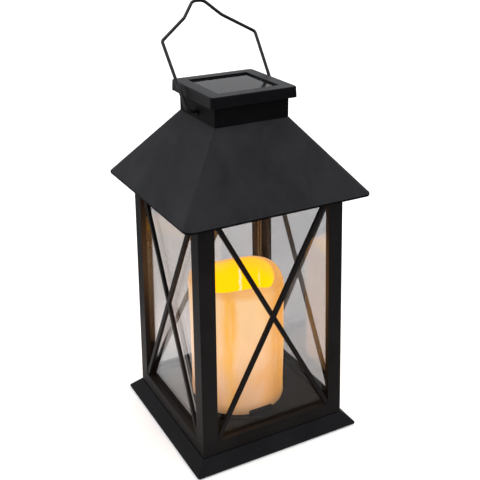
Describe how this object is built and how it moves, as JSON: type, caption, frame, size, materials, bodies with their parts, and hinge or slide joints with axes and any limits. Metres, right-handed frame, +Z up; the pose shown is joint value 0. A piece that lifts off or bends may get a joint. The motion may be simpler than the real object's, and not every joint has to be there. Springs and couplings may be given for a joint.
{
  "type": "solar lantern",
  "caption": "Square black solar garden lantern with clear windows behind crossed bars, a hipped roof with a solar panel in its cap, a lit pillar candle and a wire bail.",
  "frame": {"origin": "centre of the lantern's footprint, on the surface that it stands on", "axes": "+Z up, -Y towards the front, +X to the right seen from the front; the bail's pivots are on +X and -X"},
  "size_m": [0.145, 0.145, 0.3234],
  "materials": {
    "frame_plastic": "fine moulded satin",
    "base_plastic": "fine moulded satin",
    "roof_plastic": "fine moulded satin",
    "cap_plastic": "fine moulded satin",
    "window_plastic": "clear gloss",
    "foot_rubber": "matt",
    "panel_board": "matt",
    "solar_cell": "silicon with fine conductors",
    "panel_resin": "clear gloss",
    "candle_wax": "waxy, lit from inside",
    "candle_foot_plastic": "matt",
    "led_lens": "clear gloss, lit",
    "white_plastic": "matt",
    "cell_sleeve": "shrink sleeve",
    "plated_steel": "plated",
    "circuit_board": "solder mask",
    "component_black": "matt",
    "switch_knob": "satin",
    "red_insulation": "soft gloss",
    "black_insulation": "soft gloss",
    "white_insulation": "soft gloss",
    "bail_coating": "satin black coating",
    "screw_steel": "zinc plated"
  },
  "bodies": {
    "lantern": {"front_frame": "frame_plastic", "right_frame": "frame_plastic", "rear_frame": "frame_plastic", "left_frame": "frame_plastic", "front_pane": "window_plastic", "right_pane": "window_plastic", "rear_pane": "window_plastic", "left_pane": "window_plastic", "plinth": "base_plastic", "base_cover": "base_plastic", "rubber_feet": "foot_rubber", "ceiling_plate": "frame_plastic", "roof_shell": "roof_plastic", "solar_cap": "cap_plastic", "panel_board": "panel_board", "solar_cell": "solar_cell", "panel_resin": "panel_resin", "candle_shell": "candle_wax", "candle_foot": "candle_foot_plastic", "led_lamp": "led_lens", "led_holder": "white_plastic", "battery_cell": "cell_sleeve", "battery_spring": "plated_steel", "positive_contact": "plated_steel", "negative_contact": "plated_steel", "circuit_board": "circuit_board", "board_components": "component_black", "switch_body": "component_black", "solar_lead_positive": "black_insulation", "solar_lead_negative": "black_insulation", "led_leads": "white_insulation", "battery_leads": "red_insulation", "base_screws": "screw_steel", "lower_frame_screws": "screw_steel", "upper_frame_screws": "screw_steel", "roof_screws": "screw_steel", "candle_screws": "screw_steel", "cap_screws": "screw_steel", "board_screws": "screw_steel"},
    "bail": {"bail_handle": "bail_coating"},
    "switch": {"switch_knob": "switch_knob"},
    "door": {"battery_door": "base_plastic"}
  },
  "joints": [
    {"name": "bail_hinge", "type": "hinge", "parent": "lantern", "child": "bail", "pos_m": [0, 0, 0.2558], "axis": [1, 0, 0], "range_deg": [-70, 148]},
    {"name": "switch_slide", "type": "slide", "parent": "lantern", "child": "switch", "axis": [1, 0, 0], "range_m": [-0.0036, 0]},
    {"name": "door_hinge", "type": "hinge", "parent": "lantern", "child": "door", "pos_m": [-0.0304, 0, 0.0018], "axis": [0, 1, 0], "range_deg": [0, 95]}
  ]
}
